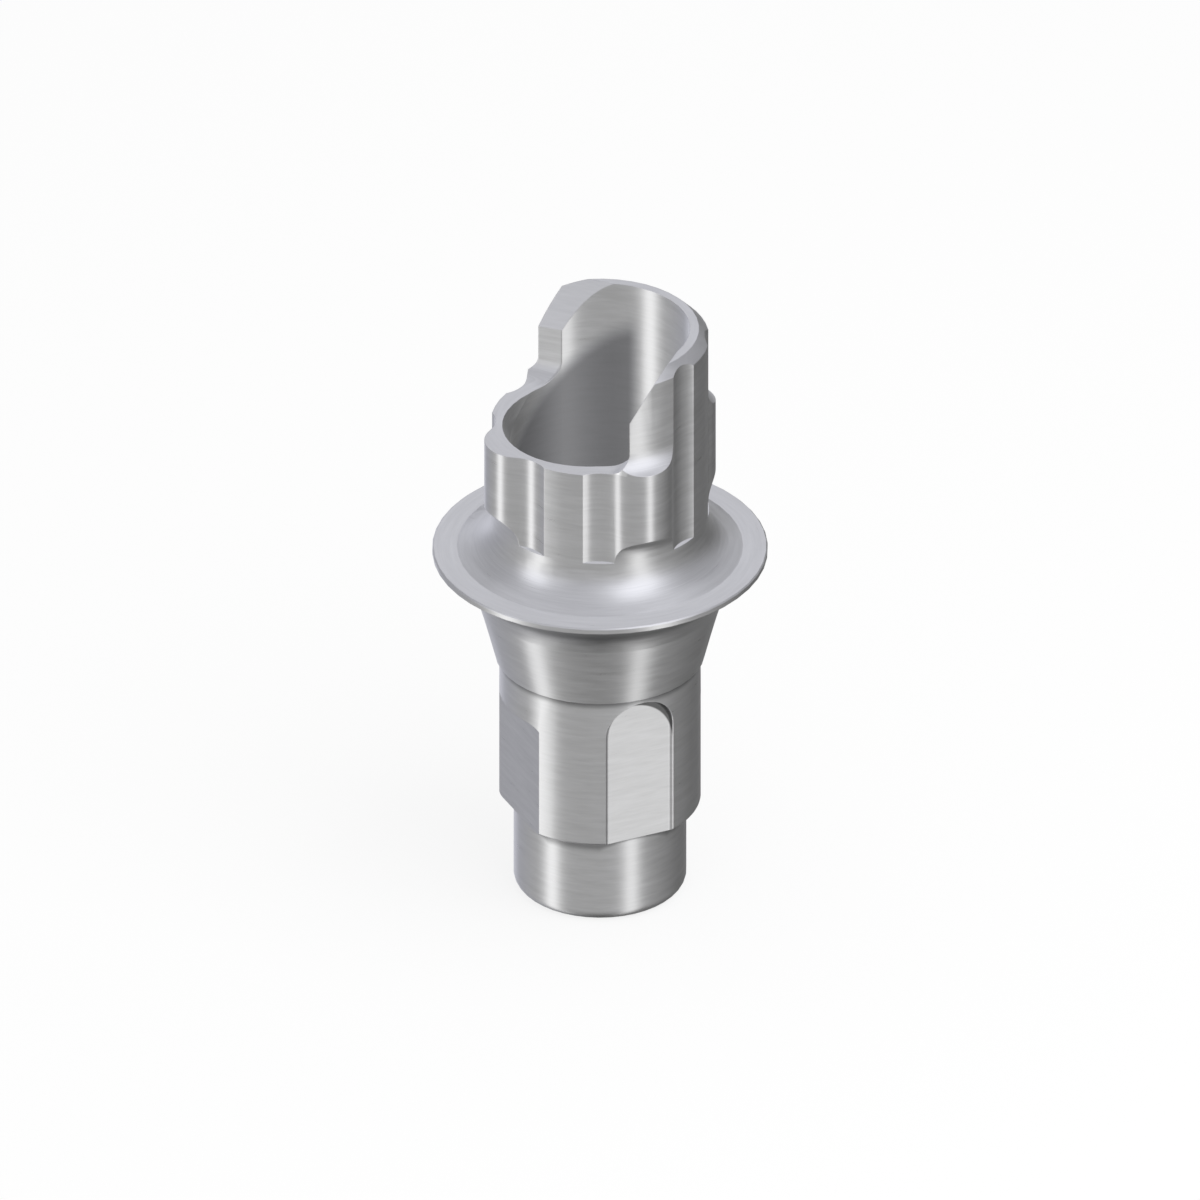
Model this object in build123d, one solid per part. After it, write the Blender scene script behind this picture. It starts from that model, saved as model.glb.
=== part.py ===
from build123d import *

import os
from math import acos, atan2, cos, degrees, radians, sin, tan

# Bonding-base abutment for a screw-retained crown, turned and milled from one titanium bar.
# Millimetres. The origin is on the axis at the foot's bottom face, and +Z points to the crown.
# The chimney's cut-out faces -Y. Levels are heights above the foot's bottom face.

# Foot, the pilot that enters the implant first
foot_radius = 1.160
foot_height = 1.285
foot_edge_radius = 0.165

# Implant connection: a cylinder with two arched pockets on X and two milled flats on Y
connection_radius = 1.352
connection_height = 2.230
connection_edge_radius = 0.050
pocket_floor_distance = 1.222
pocket_half_width = 0.504
pocket_headroom = 0.085
pocket_floor_radius = 0.054
flat_distance = 1.197
flat_height = 1.679
flat_half_width = 0.750
flat_corner_radius = 0.335

# Conical seat, which flares into the flange's underside
cone_foot_radius = 1.406
cone_half_angle = 15.0
cone_height = 0.930
flange_radius = 2.250
flare_height = 0.623
flange_thickness = 0.098
flange_edge_break = 0.018

# Neck: the chimney's own radius, with a hollow down to the flange and one up to the lobes
neck_lower_radius = 0.455
neck_upper_radius = 0.440

# Chimney: a cylinder with four rounded lobes, each between two hollow valleys that touch it
chimney_radius = 1.466
chimney_height = 3.363
chimney_top_chamfer = 0.138
lobe_radius = 0.483
lobe_centre_inset = 0.286
valley_radius = 0.485
valley_centre_outset = 0.419
valley_floor_height = 0.560
lobe_top_height = 1.938
lobe_top_radius = 0.295
lobe_stock = 0.040

# Cut-out that lets a tilted screwdriver in: two walls that open like a V towards -Y
low_rim_height = 1.920
cut_wall_angle = 45.0
cut_corner_radius = 0.295
cut_wall_height = 0.775
cut_slant_angle = 26.5

# Screw channel, its conical seat for the screw head, and the hole for the screw's shank
channel_radius = 1.207
seat_depth = 1.146
seat_half_angle = 45.0
shank_hole_radius = 0.900
mouth_inset = 0.054
mouth_tilt = 20.0
mouth_depth = 0.295

# Levels that follow from the heights and depths above
connection_top = foot_height + connection_height
cone_top = connection_top + cone_height
flange_level = cone_top + flare_height
flange_top = flange_level + flange_thickness
neck_level = flange_top + neck_lower_radius
valley_floor_level = flange_top + valley_floor_height
lobe_top_level = flange_top + lobe_top_height
low_rim_level = flange_top + low_rim_height
chimney_top = flange_top + chimney_height
seat_level = flange_top - seat_depth

# Radii that follow from others. The lobes and valleys keep their places on the chimney's wall.
lobe_centre = chimney_radius - lobe_centre_inset
valley_centre = chimney_radius + valley_centre_outset
mouth_radius = channel_radius - mouth_inset
blank_radius = lobe_centre + lobe_radius + lobe_stock

# How far the milling and boring volumes run past the metal
overrun = 0.5


def hollow_arc(centre, radius, start_angle, end_angle):
    # An arc about a centre in the half section, from one angle to the other, in degrees
    angles = (start_angle, (start_angle + end_angle) / 2, end_angle)
    points = [
        (centre[0] + radius * cos(radians(a)), centre[1] + radius * sin(radians(a)))
        for a in angles
    ]
    return ThreePointArc(*points)


def polar(radius, turn):
    # The point at a radius and a turn from X, in radians
    return (radius * cos(turn), radius * sin(turn))


def flipped(point):
    # The point's mirror image across X
    return (point[0], -point[1])


def turned(point, angle):
    # The point after a turn about the axis, in degrees
    turn = radians(angle)
    return (
        point[0] * cos(turn) - point[1] * sin(turn),
        point[0] * sin(turn) + point[1] * cos(turn),
    )


def turned_blank():
    # The lathe's outline of the whole abutment, before any milling, spun round the axis
    cone_slope = tan(radians(cone_half_angle))
    cone_top_radius = cone_foot_radius + cone_height * cone_slope

    # The neck's upper hollow starts at the valley floors and ends at the blank round the lobes
    upper_centre = chimney_radius + neck_upper_radius
    upper_turn = degrees(acos((upper_centre - blank_radius) / neck_upper_radius))

    # The hollow above the lobes runs from the blank's outside up into the chimney's wall
    top_centre = chimney_radius + lobe_top_radius
    top_turn = degrees(acos((top_centre - blank_radius) / lobe_top_radius))
    top_centre_level = lobe_top_level + lobe_top_radius * sin(radians(top_turn))

    with BuildPart() as blank:
        with BuildSketch(Plane.XZ):
            with BuildLine():
                Line((0, 0), (foot_radius - foot_edge_radius, 0))
                hollow_arc(
                    (foot_radius - foot_edge_radius, foot_edge_radius), foot_edge_radius, -90, 0
                )
                Polyline(
                    (foot_radius, foot_edge_radius),
                    (foot_radius, foot_height),
                    (connection_radius - connection_edge_radius, foot_height),
                )
                hollow_arc(
                    (
                        connection_radius - connection_edge_radius,
                        foot_height + connection_edge_radius,
                    ),
                    connection_edge_radius,
                    -90,
                    0,
                )
                Polyline(
                    (connection_radius, foot_height + connection_edge_radius),
                    (connection_radius, connection_top),
                    (cone_foot_radius, connection_top),
                    (cone_top_radius, cone_top),
                )
                TangentArc(
                    (cone_top_radius, cone_top),
                    (flange_radius - flange_edge_break, flange_level),
                    tangent=(cone_slope, 1),
                )
                Polyline(
                    (flange_radius - flange_edge_break, flange_level),
                    (flange_radius, flange_level + flange_edge_break),
                    (flange_radius, flange_top - flange_edge_break),
                    (flange_radius - flange_edge_break, flange_top),
                    (chimney_radius + neck_lower_radius, flange_top),
                )
                hollow_arc(
                    (chimney_radius + neck_lower_radius, neck_level), neck_lower_radius, 270, 180
                )
                Line((chimney_radius, neck_level), (chimney_radius, valley_floor_level))
                hollow_arc(
                    (upper_centre, valley_floor_level), neck_upper_radius, 180, 180 - upper_turn
                )
                Line(
                    (
                        blank_radius,
                        valley_floor_level + neck_upper_radius * sin(radians(upper_turn)),
                    ),
                    (blank_radius, lobe_top_level),
                )
                hollow_arc(
                    (top_centre, top_centre_level), lobe_top_radius, 180 + top_turn, 180
                )
                Polyline(
                    (chimney_radius, top_centre_level),
                    (chimney_radius, chimney_top - chimney_top_chamfer),
                    (chimney_radius - chimney_top_chamfer, chimney_top),
                    (0, chimney_top),
                    (0, 0),
                )
            make_face()
        revolve(axis=Axis.Z)
    return blank.part


def chimney_section():
    # Cross-section of the chimney. From each lobe's nose the outline runs through a valley that
    # touches the lobe, then round the cylinder from one valley's edge to the next.
    reach = lobe_radius + valley_radius
    spread = acos(
        (lobe_centre**2 + valley_centre**2 - reach**2) / (2 * lobe_centre * valley_centre)
    )
    half_valley = acos(
        (chimney_radius**2 + valley_centre**2 - valley_radius**2)
        / (2 * chimney_radius * valley_centre)
    )
    valley_x = valley_centre * cos(spread)
    valley_y = valley_centre * sin(spread)
    touch_turn = atan2(valley_y, valley_x - lobe_centre)
    nose = (lobe_centre + lobe_radius, 0)
    touch = (lobe_centre + lobe_radius * cos(touch_turn), lobe_radius * sin(touch_turn))
    floor_point = polar(valley_centre - valley_radius, spread)
    edge = polar(chimney_radius, spread + half_valley)
    with BuildSketch() as section:
        with BuildLine():
            for quarter in (0, 90, 180, 270):
                for points in (
                    (flipped(touch), nose, touch),
                    (touch, floor_point, edge),
                    (edge, polar(chimney_radius, radians(45)), turned(flipped(edge), 90)),
                    (
                        turned(flipped(edge), 90),
                        turned(flipped(floor_point), 90),
                        turned(flipped(touch), 90),
                    ),
                ):
                    ThreePointArc(*[turned(point, quarter) for point in points])
        make_face()
    return section.sketch


def chimney_milling():
    # What is milled away round the chimney, down to the valley floors
    height = chimney_top + overrun - valley_floor_level
    around = Circle(blank_radius + overrun) - chimney_section()
    return Pos(0, 0, valley_floor_level) * extrude(around, height)


def screw_channel():
    # The bore from the top, the conical seat for the screw head, and the hole for the shank
    seat_drop = (channel_radius - shank_hole_radius) / tan(radians(seat_half_angle))
    with BuildPart() as channel:
        with BuildSketch(Plane.XZ):
            with BuildLine():
                Polyline(
                    (0, -overrun),
                    (shank_hole_radius, -overrun),
                    (shank_hole_radius, seat_level - seat_drop),
                    (channel_radius, seat_level),
                    (channel_radius, chimney_top + overrun),
                    (0, chimney_top + overrun),
                    close=True,
                )
            make_face()
        revolve(axis=Axis.Z)
    return channel.part


def mouth_relief():
    # A bore tilted towards -Y, which widens the channel's mouth at the low rim
    length = chimney_height
    bore = Cylinder(mouth_radius, length, align=(Align.CENTER, Align.CENTER, Align.MIN))
    return Pos(0, 0, low_rim_level - mouth_depth) * Rot(mouth_tilt, 0, 0) * bore


def cut_out():
    # Each wall of the V is one section, carried outwards from the axis along the wall's direction
    angle = radians(cut_wall_angle)
    inward = Vector(-cos(angle), -sin(angle), 0)
    wall_top = low_rim_level + cut_wall_height
    upper_end = chimney_top + overrun
    slant_run = (upper_end - wall_top) * tan(radians(cut_slant_angle))
    reach = 4 * chimney_radius
    section_plane = Plane(
        origin=inward * (-channel_radius * cos(angle)),
        x_dir=inward,
        z_dir=inward.cross(Vector(0, 0, 1)),
    )
    with BuildPart() as half:
        with BuildSketch(section_plane):
            with BuildLine():
                Line((reach, low_rim_level), (cut_corner_radius, low_rim_level))
                hollow_arc(
                    (cut_corner_radius, low_rim_level + cut_corner_radius),
                    cut_corner_radius,
                    270,
                    180,
                )
                Polyline(
                    (0, low_rim_level + cut_corner_radius),
                    (0, wall_top),
                    (-slant_run, upper_end),
                    (reach, upper_end),
                    (reach, low_rim_level),
                )
            make_face()
        extrude(amount=-reach)
    return half.part + mirror(half.part, about=Plane.YZ)


def arched_pocket():
    # One pocket of the connection, on +X: open at the bottom, arched at the top
    arch_level = connection_top - pocket_headroom - pocket_half_width
    straight = arch_level - foot_height + overrun
    outline = Pos(0, arch_level - straight / 2) * Rectangle(2 * pocket_half_width, straight)
    outline += Pos(0, arch_level) * Circle(pocket_half_width)
    on_floor = Plane(origin=(pocket_floor_distance, 0, 0), x_dir=(0, 1, 0), z_dir=(1, 0, 0))
    pocket = extrude(on_floor * outline, overrun)
    floor_edges = pocket.edges().group_by(Axis.X)[0]
    return fillet(floor_edges, pocket_floor_radius)


def connection_flat():
    # One flat of the connection, on +Y: wider than the metal there, with rounded upper corners
    height = flat_height + overrun
    outline = Pos(0, foot_height - overrun + height / 2) * RectangleRounded(
        2 * flat_half_width, height, flat_corner_radius
    )
    on_flat = Plane(origin=(0, flat_distance, 0), x_dir=(-1, 0, 0), z_dir=(0, 1, 0))
    return extrude(on_flat * outline, overrun)


def abutment():
    body = turned_blank()
    body -= chimney_milling()
    body -= cut_out()
    body -= screw_channel()
    body -= mouth_relief()
    for turn in (0, 180):
        body -= Rot(0, 0, turn) * arched_pocket()
        body -= Rot(0, 0, turn) * connection_flat()
    return body.solid()


os.makedirs("parts", exist_ok=True)
export_step(abutment(), "parts/abutment.step")
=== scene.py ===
import math
import bpy
import numpy as np
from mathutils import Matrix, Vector


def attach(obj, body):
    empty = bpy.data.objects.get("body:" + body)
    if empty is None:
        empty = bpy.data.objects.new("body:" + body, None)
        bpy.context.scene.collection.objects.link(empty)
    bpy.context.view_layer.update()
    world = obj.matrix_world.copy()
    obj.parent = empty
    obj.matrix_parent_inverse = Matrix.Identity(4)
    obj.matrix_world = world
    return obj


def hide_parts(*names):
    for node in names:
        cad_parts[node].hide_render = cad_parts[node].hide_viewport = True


# A titanium dental abutment, standing on its foot on a pale floor.
# Metres, in the frame of the CAD model: the axis is Z, and the cut-out faces -Y.
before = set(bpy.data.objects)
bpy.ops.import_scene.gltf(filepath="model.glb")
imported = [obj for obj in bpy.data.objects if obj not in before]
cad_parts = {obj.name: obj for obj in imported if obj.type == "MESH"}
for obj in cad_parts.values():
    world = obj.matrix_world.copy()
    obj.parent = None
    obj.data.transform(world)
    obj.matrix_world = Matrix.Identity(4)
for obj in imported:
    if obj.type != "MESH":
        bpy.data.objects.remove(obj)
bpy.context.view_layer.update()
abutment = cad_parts["abutment"]
print("frame loaded")


# A shader socket that does its own maths: each operator adds one Math node. One without a
# socket is where a tree starts.
class Wire:
    def __init__(self, tree, socket=None):
        self.tree = tree
        self.socket = socket

    def feed(self, slot, value):
        if isinstance(value, Wire):
            self.tree.links.new(value.socket, slot)
        else:
            slot.default_value = value

    def node(self, kind, settings=None, **inputs):
        # Adds any node, applies its settings first, then its values or links by socket
        made = self.tree.nodes.new(kind)
        for name, value in (settings or {}).items():
            setattr(made, name, value)
        for name, value in inputs.items():
            slot = next(
                s for s in made.inputs
                if s.enabled and name in (s.name.replace(" ", ""), s.identifier)
            )
            self.feed(slot, value)
        return made

    def out(self, made, name=None):
        # The named output of a node, or else its first one
        picked = made.outputs[name] if name else next(s for s in made.outputs if s.enabled)
        return Wire(self.tree, picked)

    def split(self, vector):
        # The three numbers of a vector
        parts = self.node("ShaderNodeSeparateXYZ", Vector=vector)
        return [self.out(parts, name) for name in "XYZ"]

    def maths(self, operation, *values):
        # One Math node of that operation
        made = self.node("ShaderNodeMath", {"operation": operation})
        for slot, value in zip(made.inputs, values):
            self.feed(slot, value)
        return self.out(made)

    def ramp(self, value, low, high):
        # Rises smoothly from 0 at low to 1 at high
        made = self.node(
            "ShaderNodeMapRange", {"interpolation_type": "SMOOTHSTEP"},
            Value=value, FromMin=low, FromMax=high,
        )
        return self.out(made)

    def band(self, value, rise, fall):
        # Rises from 0 to 1 over the first pair, and falls back to 0 over the second
        return self.ramp(value, *rise) * (1 - self.ramp(value, *fall))

    def __abs__(self):
        return self.maths("ABSOLUTE", self)

    def __add__(self, other):
        return self.maths("ADD", self, other)

    def __radd__(self, other):
        return self.maths("ADD", other, self)

    def __sub__(self, other):
        return self.maths("SUBTRACT", self, other)

    def __rsub__(self, other):
        return self.maths("SUBTRACT", other, self)

    def __mul__(self, other):
        return self.maths("MULTIPLY", self, other)

    def __rmul__(self, other):
        return self.maths("MULTIPLY", other, self)

    def __truediv__(self, other):
        return self.maths("DIVIDE", self, other)

    def __rtruediv__(self, other):
        return self.maths("DIVIDE", other, self)

    def __pow__(self, other):
        return self.maths("POWER", self, other)

    def __rpow__(self, other):
        return self.maths("POWER", other, self)


barely = 1e-6  # added to what is divided by, where that could be 0
degree = 180 / math.pi  # degrees in one radian


def emptyTree(owner):
    # Gives a material or a world an empty tree, ready for its nodes
    owner.use_nodes = True
    owner.node_tree.nodes.clear()
    return Wire(owner.node_tree)


cameraView = {
    "azimuth": 65.0,  # degrees round from -Y towards +X
    "elevation": 30.0,
    "frameWidth": 0.01609,  # what the square picture spans
    "aimHeight": 0.00432,  # the height on the axis in the middle of the picture
    "distance": 0.12,
    "clip": (0.001, 1.0),
}


def directionAt(azimuth, elevation):
    # The unit vector from the axis towards an azimuth and elevation in degrees
    a, e = math.radians(azimuth), math.radians(elevation)
    return Vector((math.sin(a) * math.cos(e), -math.cos(a) * math.cos(e), math.sin(e)))


def placeCamera(settings):
    lens = bpy.data.cameras.new("camera")
    lens.type = "ORTHO"
    lens.ortho_scale = settings["frameWidth"]
    lens.clip_start, lens.clip_end = settings["clip"]
    camera = bpy.data.objects.new("camera", lens)
    bpy.context.scene.collection.objects.link(camera)
    towards = directionAt(settings["azimuth"], settings["elevation"])
    camera.location = Vector((0, 0, settings["aimHeight"])) + towards * settings["distance"]
    camera.rotation_euler = (-towards).to_track_quat("-Z", "Y").to_euler()
    bpy.context.scene.camera = camera


placeCamera(cameraView)
bpy.context.scene.view_settings.view_transform = "Standard"
print("camera placed")

# Angles are in degrees, and a pair says where a change begins and where it ends
surround = {
    "back": 1.04,  # brightness behind the object, where level faces look
    "backHeight": 30.0,
    "backSpread": (0.7, 1.0),  # cosines of the angle from there
    "top": 0.86,
    "side": 0.60,  # brightness at both sides above the horizon
    "sideSpread": (0.1, 0.5),  # sines of the angle from the picture's middle
    "overhead": 0.2,  # what is added high up on the right
    "overheadSpread": (0.1, 0.4),  # sines as well
    "steep": (38.0, 60.0),  # the heights where the sides end and the overhead part begins
    "front": 0.57,  # brightness below the horizon
    "nadir": 0.03,  # and straight below
    "ground": (-92.0, -35.0),
    "horizon": (-12.0, 25.0),
    "flag": {"azimuth": 205.0, "width": 55.0, "depth": 0.40},
    "left": {
        "azimuth": -2.0, "brightness": 1.35, "width": 9.5, "lean": -18.0, "gain": 0.3,
        "boxHeight": 24.0, "boxBrightness": 0.65, "boxWidth": 16.0,
    },
    "right": {
        "azimuth": 107.0, "brightness": 1.0, "width": 9.5, "lean": 10.0, "gain": 0.35,
        "boxHeight": 37.0, "boxBrightness": 1.6, "boxWidth": 23.0,
    },
    "leanDepth": (32.0, 58.0),  # how far below the horizon the strips lean and gain
    "stripFoot": (-110.0, -45.0),
    "stripTop": (15.0, 50.0),
    "waist": {"share": 0.35, "height": -2.0, "width": 14.0},  # where level views meet them
    "coolStrip": {"azimuth": -95.0, "brightness": 0.55, "width": 12.0, "foot": (-48.0, -28.0)},
    "coolSide": {"azimuth": -72.0, "brightness": 0.05, "width": 26.0},
    "coolColour": (0.895, 0.905, 1.0),
    "coolShares": (1.6, 0.8, 0.7),  # of that colour in the strip, the side and the upper half
    "card": {"azimuth": 26.0, "height": 21.0, "brightness": 0.42, "width": 14.0},
    "brightest": 1.8,  # so that no face clips to white
    "ambience": 0.80,  # brightness of the surround for all that isn't mirrored
}


def wrappedGap(wire, turn, azimuth):
    # How far a direction lies from an azimuth, the short way round
    gap = abs(turn - azimuth)
    return wire.maths("MINIMUM", gap, abs(360 - gap))


def softStrip(gap, width):
    # 1 in the middle, a half at the width, and a sixteenth at twice the width
    return 0.5 ** (gap / width) ** 2.0


def softColumn(wire, turn, settings):
    # A soft strip that stands upright at its azimuth
    return softStrip(wrappedGap(wire, turn, settings["azimuth"]), settings["width"])


def mirroredRay(wire, path):
    # 1 for what is seen in metal or through glass
    glossy = wire.out(path, "Is Glossy Ray")
    return wire.maths("MAXIMUM", glossy, wire.out(path, "Is Transmission Ray"))


def lightSurround(settings):
    # The white surround with two soft strips, as brightness by azimuth and height
    world = bpy.data.worlds.new("studio")
    bpy.context.scene.world = world
    world.cycles.sampling_method = "NONE"
    start = emptyTree(world)
    x, y, z = start.split(start.out(start.node("ShaderNodeTexCoord"), "Generated"))
    turn = start.maths("ARCTAN2", x, 0 - y) * degree
    height = start.maths("ARCSINE", z) * degree

    # Below the horizon: even, darker behind a flag on one side, and dark straight below
    flag = settings["flag"]
    low = settings["front"] - flag["depth"] * softColumn(start, turn, flag)
    low = low * start.ramp(height, *settings["ground"]) + settings["nadir"]
    # Above it: bright behind, a little less overhead, and less again at the sides
    away = directionAt(cameraView["azimuth"] + 180, settings["backHeight"])
    behind = start.ramp(x * away.x + y * away.y + z * away.z, *settings["backSpread"])
    across = directionAt(cameraView["azimuth"] + 90, 0.0)
    rightwards = x * across.x + y * across.y
    steep = start.ramp(height, *settings["steep"])
    aside = start.ramp(abs(rightwards), *settings["sideSpread"]) * (1 - steep)
    overhead = start.ramp(rightwards, *settings["overheadSpread"]) * steep
    high = settings["top"] + (settings["back"] - settings["top"]) * behind
    high = high - (settings["top"] - settings["side"]) * aside + settings["overhead"] * overhead
    above = start.ramp(height, *settings["horizon"])
    level = low * (1 - above) + high * above

    # The strips lean outwards below the horizon, and end in the two boxes above it
    drop = start.ramp(0 - height, *settings["leanDepth"])
    waist = settings["waist"]
    reach = start.band(height, settings["stripFoot"], settings["stripTop"])
    reach = reach * (1 - waist["share"] * softStrip(height - waist["height"], waist["width"]))
    for side in ("left", "right"):
        strip = settings[side]
        gap = wrappedGap(start, turn, strip["azimuth"] + drop * strip["lean"])
        line = softStrip(gap, strip["width"]) * reach * (1 + strip["gain"] * drop)
        boxGap = height - strip["boxHeight"]
        box = softStrip(gap, strip["boxWidth"]) * softStrip(boxGap, strip["boxWidth"])
        level = level + strip["brightness"] * line + strip["boxBrightness"] * box

    # A bluish strip and side on the left, below the horizon, and a card between the strips
    strip, side, card = (settings[name] for name in ("coolStrip", "coolSide", "card"))
    coolStrip = strip["brightness"] * (1 - above) * start.ramp(height, *strip["foot"])
    coolStrip = coolStrip * softColumn(start, turn, strip)
    coolSide = (1 - above) * softColumn(start, turn, side)
    cool = coolStrip + side["brightness"] * coolSide
    cardPart = softColumn(start, turn, card) * softStrip(height - card["height"], card["width"])
    level = level + cool + card["brightness"] * cardPart
    level = start.maths("MINIMUM", level, settings["brightest"])
    stripShare, sideShare, upperShare = settings["coolShares"]
    tint = start.node(
        "ShaderNodeMix", {"data_type": "RGBA", "clamp_factor": True},
        Factor=cool * stripShare + coolSide * sideShare + above * upperShare,
        A=(1, 1, 1, 1), B=(*settings["coolColour"], 1),
    )

    # Metal mirrors this surround, all else gets even light, and the camera sees plain white
    shown = start.node("ShaderNodeBackground", Color=start.out(tint), Strength=level)
    plain = start.node("ShaderNodeBackground", Color=(1, 1, 1, 1), Strength=settings["ambience"])
    white = start.node("ShaderNodeBackground", Color=(1, 1, 1, 1), Strength=1.0)
    path = start.node("ShaderNodeLightPath")
    indirect = start.node(
        "ShaderNodeMixShader", Fac=mirroredRay(start, path),
        Shader=start.out(plain), Shader_001=start.out(shown),
    )
    seen = start.node(
        "ShaderNodeMixShader", Fac=start.out(path, "Is Camera Ray"),
        Shader=start.out(indirect), Shader_001=start.out(white),
    )
    start.node("ShaderNodeOutputWorld", Surface=start.out(seen))


softbox = {
    "power": 0.020,  # watts
    "size": 0.06,
    "distance": 0.07,
    "azimuth": 112.0,
    "elevation": 58.0,
}


def hangLamp(settings):
    light = bpy.data.lights.new("softbox", "AREA")
    light.shape = "SQUARE"
    light.size = settings["size"]
    light.energy = settings["power"]
    lamp = bpy.data.objects.new("softbox", light)
    bpy.context.scene.collection.objects.link(lamp)
    towards = directionAt(settings["azimuth"], settings["elevation"])
    lamp.location = towards * settings["distance"]
    lamp.rotation_euler = towards.to_track_quat("Z", "Y").to_euler()
    lamp.visible_camera = False
    lamp.visible_glossy = False


paleFloor = {
    "colour": (0.9, 0.9, 0.9),
    "glow": 0.8,  # share of plain white in what the camera sees of the floor
    "size": 0.5,
}


def layFloor(settings):
    half = settings["size"] / 2
    mesh = bpy.data.meshes.new("floor")
    mesh.from_pydata(
        [(-half, -half, 0), (half, -half, 0), (half, half, 0), (-half, half, 0)], [], [(0, 1, 2, 3)]
    )
    floor = bpy.data.objects.new("floor", mesh)
    bpy.context.scene.collection.objects.link(floor)
    floor.visible_glossy = False
    material = bpy.data.materials.new("paleFloor")
    start = emptyTree(material)
    paper = start.node("ShaderNodeBsdfDiffuse", Color=(*settings["colour"], 1))
    white = start.node("ShaderNodeEmission", Color=(1, 1, 1, 1), Strength=1.0)
    path = start.node("ShaderNodeLightPath")
    seen = start.maths("MAXIMUM", start.out(path, "Is Camera Ray"), mirroredRay(start, path))
    mixed = start.node(
        "ShaderNodeMixShader", Fac=seen * settings["glow"],
        Shader=start.out(paper), Shader_001=start.out(white),
    )
    start.node("ShaderNodeOutputMaterial", Surface=start.out(mixed))
    mesh.materials.append(material)


lightSurround(surround)
hangLamp(softbox)
layFloor(paleFloor)
print("studio lit")

# Places that lie in the shade of what stands over them. A colour is a share of the metal's, and a
# pair of lengths says where an edge of the shade begins and where it ends.
shades = {
    "channel": {
        "colour": 0.52,
        "roughness": 0.35,  # what it adds to the metal's
        "height": 0.00694,  # where the shade begins on the axis,
        "climb": (-0.25, 0.88),  # how that rises with X and Y,
        "blur": 0.0002,  # and how soft it is there
        "wall": (0.00122, 0.00124),
        "bottom": (0.0038, 0.00382),
        "fadeAzimuth": 155.0,  # the side of the channel that stays light
        "fade": (0.00036, 0.0006),
    },
    "ledge": {"colour": 0.42, "rise": (0.003375, 0.003482), "end": (0.003515, 0.003517)},
    "flare": {"colour": 0.62, "rise": (0.00464, 0.00480), "end": (0.005068, 0.00507)},
    "arch": {
        "colour": 0.2,
        "aside": 0.000104,  # how far the circle's middle lies to one side of the pocket's,
        "height": 0.002745,  # and its height
        "circle": (0.000580, 0.000604),
        "foot": (0.002665, 0.002845),
        "floor": (0.0012, 0.00121),  # the pocket's floor, from the YZ plane
        "rim": (0.001335, 0.001345),  # and its walls, from the axis
    },
    "foot": {
        "colour": 0.5,
        "top": 0.001285,
        "radius": 0.00116,
        "wall": 0.001352,  # the connection's radius, and its pockets and flats from the axis
        "pocket": 0.001222,
        "flat": 0.001197,
        "rise": (0.0, 0.001),  # in overhangs down from the top
        "end": (0.6, 1.15),
    },
    "outside": (0.001, 0.00102),  # all but the channel's shade lie outside this radius
}


def channelShade(wire, place, radius, settings):
    # Painted shadow in the channel: it lies below a slanted plane, and fades towards one side
    x, y, z = place
    climbX, climbY = settings["climb"]
    plane = x * climbX + y * climbY + settings["height"]
    under = wire.ramp(plane - z, -settings["blur"], settings["blur"])
    within = (1 - wire.ramp(radius, *settings["wall"])) * wire.ramp(z, *settings["bottom"])
    side = directionAt(settings["fadeAzimuth"], 0.0)
    return under * within * (1 - wire.ramp(x * side.x + y * side.y, *settings["fade"]))


def archShade(wire, place, radius, settings):
    # The top of an arched pocket, outside a circle whose middle lies lower and to one side
    x, y, z = place
    across = y * wire.maths("SIGN", x) + settings["aside"]
    rise = z - settings["height"]
    distance = wire.maths("SQRT", across * across + rise * rise)
    inPocket = wire.ramp(abs(x), *settings["floor"]) * (1 - wire.ramp(radius, *settings["rim"]))
    return wire.ramp(distance, *settings["circle"]) * wire.ramp(z, *settings["foot"]) * inPocket


def footShade(wire, place, radius, settings):
    # It reaches down the foot in proportion to what the connection stands out over it. A pocket or
    # flat at a distance from the axis ends at that distance / cosine of the angle to its middle.
    x, y, z = place
    pocket = settings["pocket"] / (abs(x) / radius + barely)
    flat = settings["flat"] / (abs(y) / radius + barely)
    edge = wire.maths("MINIMUM", wire.maths("MINIMUM", pocket, flat), settings["wall"])
    drop = (settings["top"] - z) / (edge - settings["radius"])
    return wire.band(drop, settings["rise"], settings["end"])


titanium = {
    "colour": (0.56, 0.56, 0.56),
    "roughness": 0.32,
    "anisotropy": 0.75,
    "grain": 0.25,  # the turn that lays the gloss along the turning marks
    "edgeBreak": 0.000012,  # radius of the light on sharp edges
    "edgeSamples": 6,
    "level": (0.4, 0.9),  # the part of a normal along Z that makes a face level
    "streakSpread": 2.6,  # how often a turning mark changes in one radian round the axis
    "streakFineness": 18000.0,  # and in one metre along the axis or outwards
    "streakDetail": 3.0,
    "streakContrast": 0.6,
    "streakColour": 0.34,
    "streakRoughness": 0.2,
    "streakHeight": 2e-7,
    # Painted light: the next four values lighten the colour of the cut-out's upright walls
    "milledColour": 1.3,  # the cut-out's upright milled walls as a multiple of the colour
    "milledFacing": (0.64, 0.70),  # the part of their normal towards -Y
    "milledAbove": (0.0071, 0.00712),
    "milledOutside": (0.001213, 0.001223),
}


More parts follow.
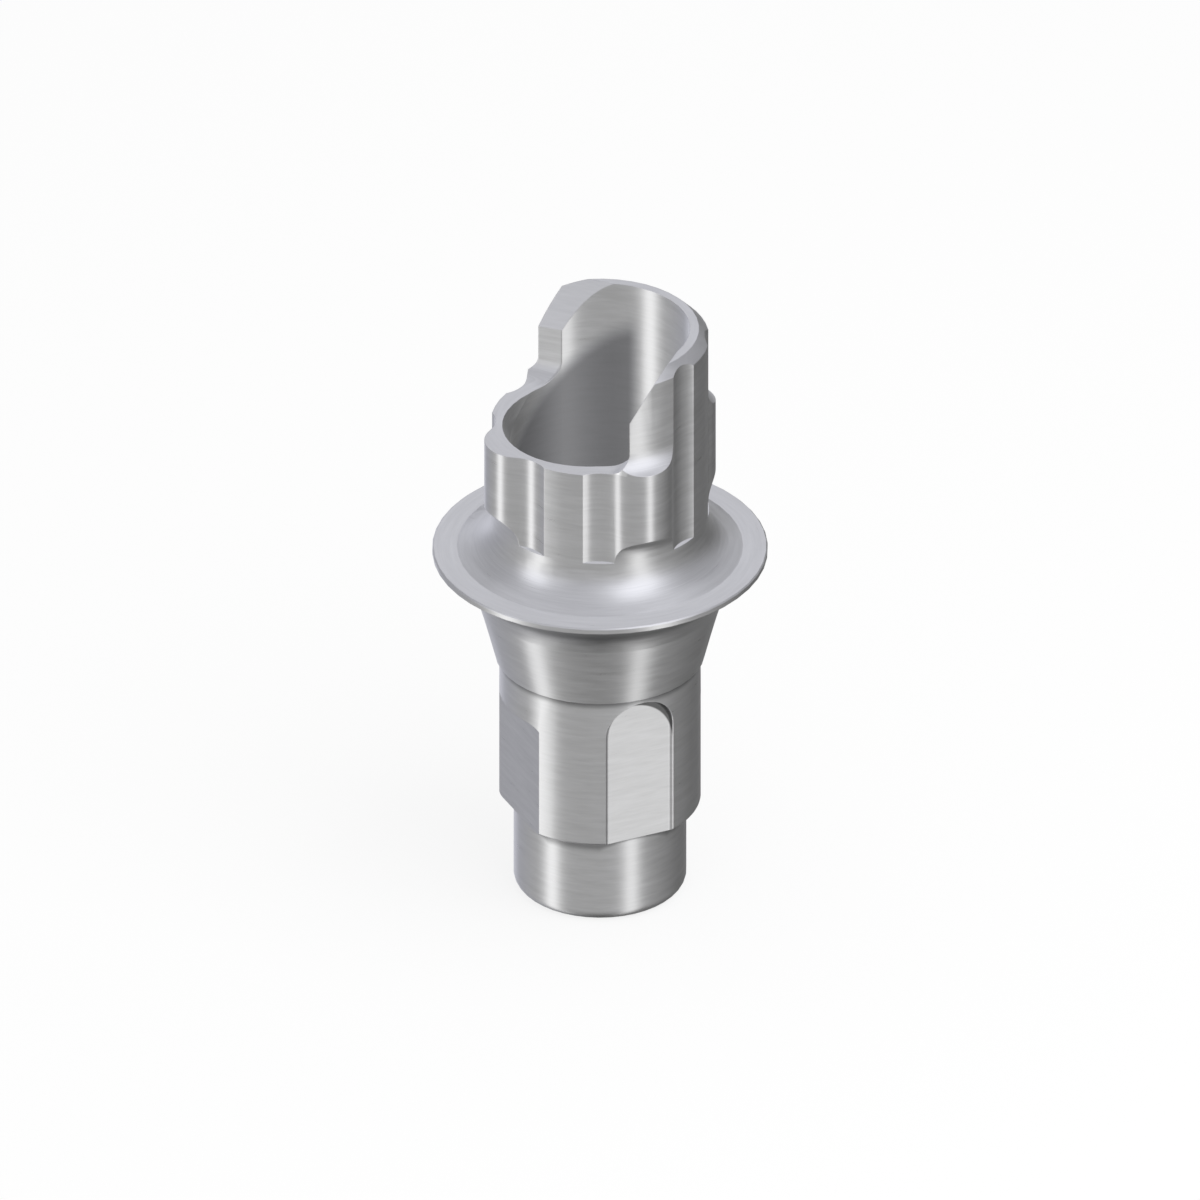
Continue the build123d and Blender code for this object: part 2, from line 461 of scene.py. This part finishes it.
def titaniumMaterial(settings, shades):
    material = bpy.data.materials.new("turnedTitanium")
    start = emptyTree(material)
    place = start.split(start.out(start.node("ShaderNodeTexCoord"), "Object"))
    x, y, z = place
    radius = start.maths("SQRT", x * x + y * y) + barely
    _, facingY, facingZ = start.split(start.out(start.node("ShaderNodeNewGeometry"), "Normal"))

    # The lathe's marks run round the axis, and change quickly along it, or outwards on level faces
    up = start.ramp(abs(facingZ), *settings["level"])
    around = start.node(
        "ShaderNodeCombineXYZ",
        X=x / radius * settings["streakSpread"],
        Y=y / radius * settings["streakSpread"],
        Z=(z + radius * up) * settings["streakFineness"],
    )
    noise = start.node(
        "ShaderNodeTexNoise", Vector=start.out(around), Scale=1.0,
        Detail=settings["streakDetail"], Roughness=settings["streakContrast"],
    )
    marks = start.out(noise) - 0.5

    # Painted shade: the colour is darkened in the channel, under the ledge and the flange, at the
    # pockets' arches and on the foot
    channel, ledge, flare, arch, foot = (
        shades[name] for name in ("channel", "ledge", "flare", "arch", "foot")
    )
    channelShadow = channelShade(start, place, radius, channel)
    outside = start.ramp(radius, *shades["outside"])
    belowLedge = 1 - start.ramp(z, *ledge["end"])
    light = 1 - channelShadow * (1 - channel["colour"])
    for shade, mask in (
        (foot, footShade(start, place, radius, foot)),
        (ledge, start.ramp(z, *ledge["rise"]) * belowLedge),
        (flare, start.band(z, flare["rise"], flare["end"])),
        (arch, archShade(start, place, radius, arch) * belowLedge),
    ):
        light = light * (1 - outside * mask * (1 - shade["colour"]))

    # Painted light: the cut-out's two walls, which look half towards -Y above the low rim outside
    # the channel, get a lighter colour
    paintedLight = (
        start.ramp(0 - facingY, *settings["milledFacing"])
        * start.ramp(z, *settings["milledAbove"])
        * start.ramp(radius, *settings["milledOutside"])
    )
    light = light * (1 + paintedLight * (settings["milledColour"] - 1))
    level = (marks * settings["streakColour"] + 1) * light
    grey = start.node("ShaderNodeCombineColor", Red=level, Green=level, Blue=level)
    colour = start.node(
        "ShaderNodeMix", {"data_type": "RGBA", "blend_type": "MULTIPLY"},
        Factor=1.0, A=(*settings["colour"], 1), B=start.out(grey),
    )
    roughness = marks * settings["streakRoughness"] + channelShadow * channel["roughness"]
    edges = start.node(
        "ShaderNodeBevel", {"samples": settings["edgeSamples"]}, Radius=settings["edgeBreak"]
    )
    scratched = start.node(
        "ShaderNodeBump", Strength=1.0, Distance=settings["streakHeight"],
        Height=marks, Normal=start.out(edges),
    )
    metal = start.node(
        "ShaderNodeBsdfPrincipled", BaseColor=start.out(colour), Metallic=1.0,
        Roughness=roughness + settings["roughness"], Anisotropic=settings["anisotropy"],
        AnisotropicRotation=settings["grain"], Normal=start.out(scratched),
    )
    start.node("ShaderNodeOutputMaterial", Surface=start.out(metal))
    return material


skin = {
    "seamReach": 1e-7,  # how far from the XZ plane a corner may lie and still be on the seam
    "seamAngle": 8.0,  # how far in degrees a normal may lean over the seam and still be put right
    "flareRadii": (0.00150, 0.00193),  # the neck's lower hollow, between these radii
    "flareHeights": (0.00510, 0.00566),  # and these heights,
    "flareFacing": (0.05, 0.9995),  # where a face's normal along Z lies between these
    "flareSlope": 25.0,  # the slope in degrees at which it meets the flange's level ring
    "leastArea": 1e-20,  # square metres, so that no triangle's normal is divided by 0
}


def cornersOf(mesh):
    # The normals and the places of a mesh's corners, one row for each corner
    corners = len(mesh.loops)
    normals = np.empty(corners * 3, dtype=np.float32)
    mesh.corner_normals.foreach_get("vector", normals)
    owners = np.empty(corners, dtype=np.int32)
    mesh.loops.foreach_get("vertex_index", owners)
    places = np.empty(len(mesh.vertices) * 3, dtype=np.float32)
    mesh.vertices.foreach_get("co", places)
    return normals.reshape(-1, 3), places.reshape(-1, 3)[owners]


def closeSeam(mesh, settings):
    # The turned surfaces close on +X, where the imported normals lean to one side. The shape is the
    # same on both sides there, so a normal on the seam loses its Y part and gets back length 1.
    normals, places = cornersOf(mesh)
    onSeam = (np.abs(places[:, 1]) < settings["seamReach"]) & (places[:, 0] > 0)
    leaning = np.abs(normals[:, 1]) < np.sin(np.radians(settings["seamAngle"]))
    normals[onSeam & leaning, 1] = 0
    normals /= np.linalg.norm(normals, axis=1, keepdims=True)
    mesh.normals_split_custom_set(normals.tolist())


def flareNeck(mesh, settings):
    # The neck's lower hollow meets the level ring at a slope instead of running out into it, so
    # a normal there leans outwards by the fourth root of slope^4 + flareSlope^4, the slope being
    # that of the hollow itself
    normals, places = cornersOf(mesh)
    faces = places.reshape(-1, 3, 3)
    across = np.cross(faces[:, 1] - faces[:, 0], faces[:, 2] - faces[:, 0])
    lengths = np.linalg.norm(across, axis=1, keepdims=True)
    across /= np.maximum(lengths, settings["leastArea"])
    steepest, flattest = settings["flareFacing"]
    sloping = np.repeat((across[:, 2] > steepest) & (across[:, 2] < flattest), 3)
    radius = np.hypot(places[:, 0], places[:, 1])
    nearest, farthest = settings["flareRadii"]
    lowest, highest = settings["flareHeights"]
    inHollow = (
        sloping & (radius > nearest) & (radius < farthest)
        & (places[:, 2] > lowest) & (places[:, 2] < highest)
    )
    slope = np.degrees(np.arccos(np.clip(normals[:, 2], -1, 1)))
    steeper = np.radians((slope ** 4 + settings["flareSlope"] ** 4) ** 0.25)
    outwards = places[:, :2] / radius[:, None]
    normals[inHollow, :2] = (outwards * np.sin(steeper)[:, None])[inHollow]
    normals[inHollow, 2] = np.cos(steeper)[inHollow]
    mesh.normals_split_custom_set(normals.tolist())


body = bpy.data.objects.new("abutmentSkin", abutment.data.copy())
bpy.context.scene.collection.objects.link(body)
closeSeam(body.data, skin)
flareNeck(body.data, skin)
body.data.materials.clear()
body.data.materials.append(titaniumMaterial(titanium, shades))
body.visible_glossy = False
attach(body, "root")
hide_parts("abutment")
print("abutment skinned")
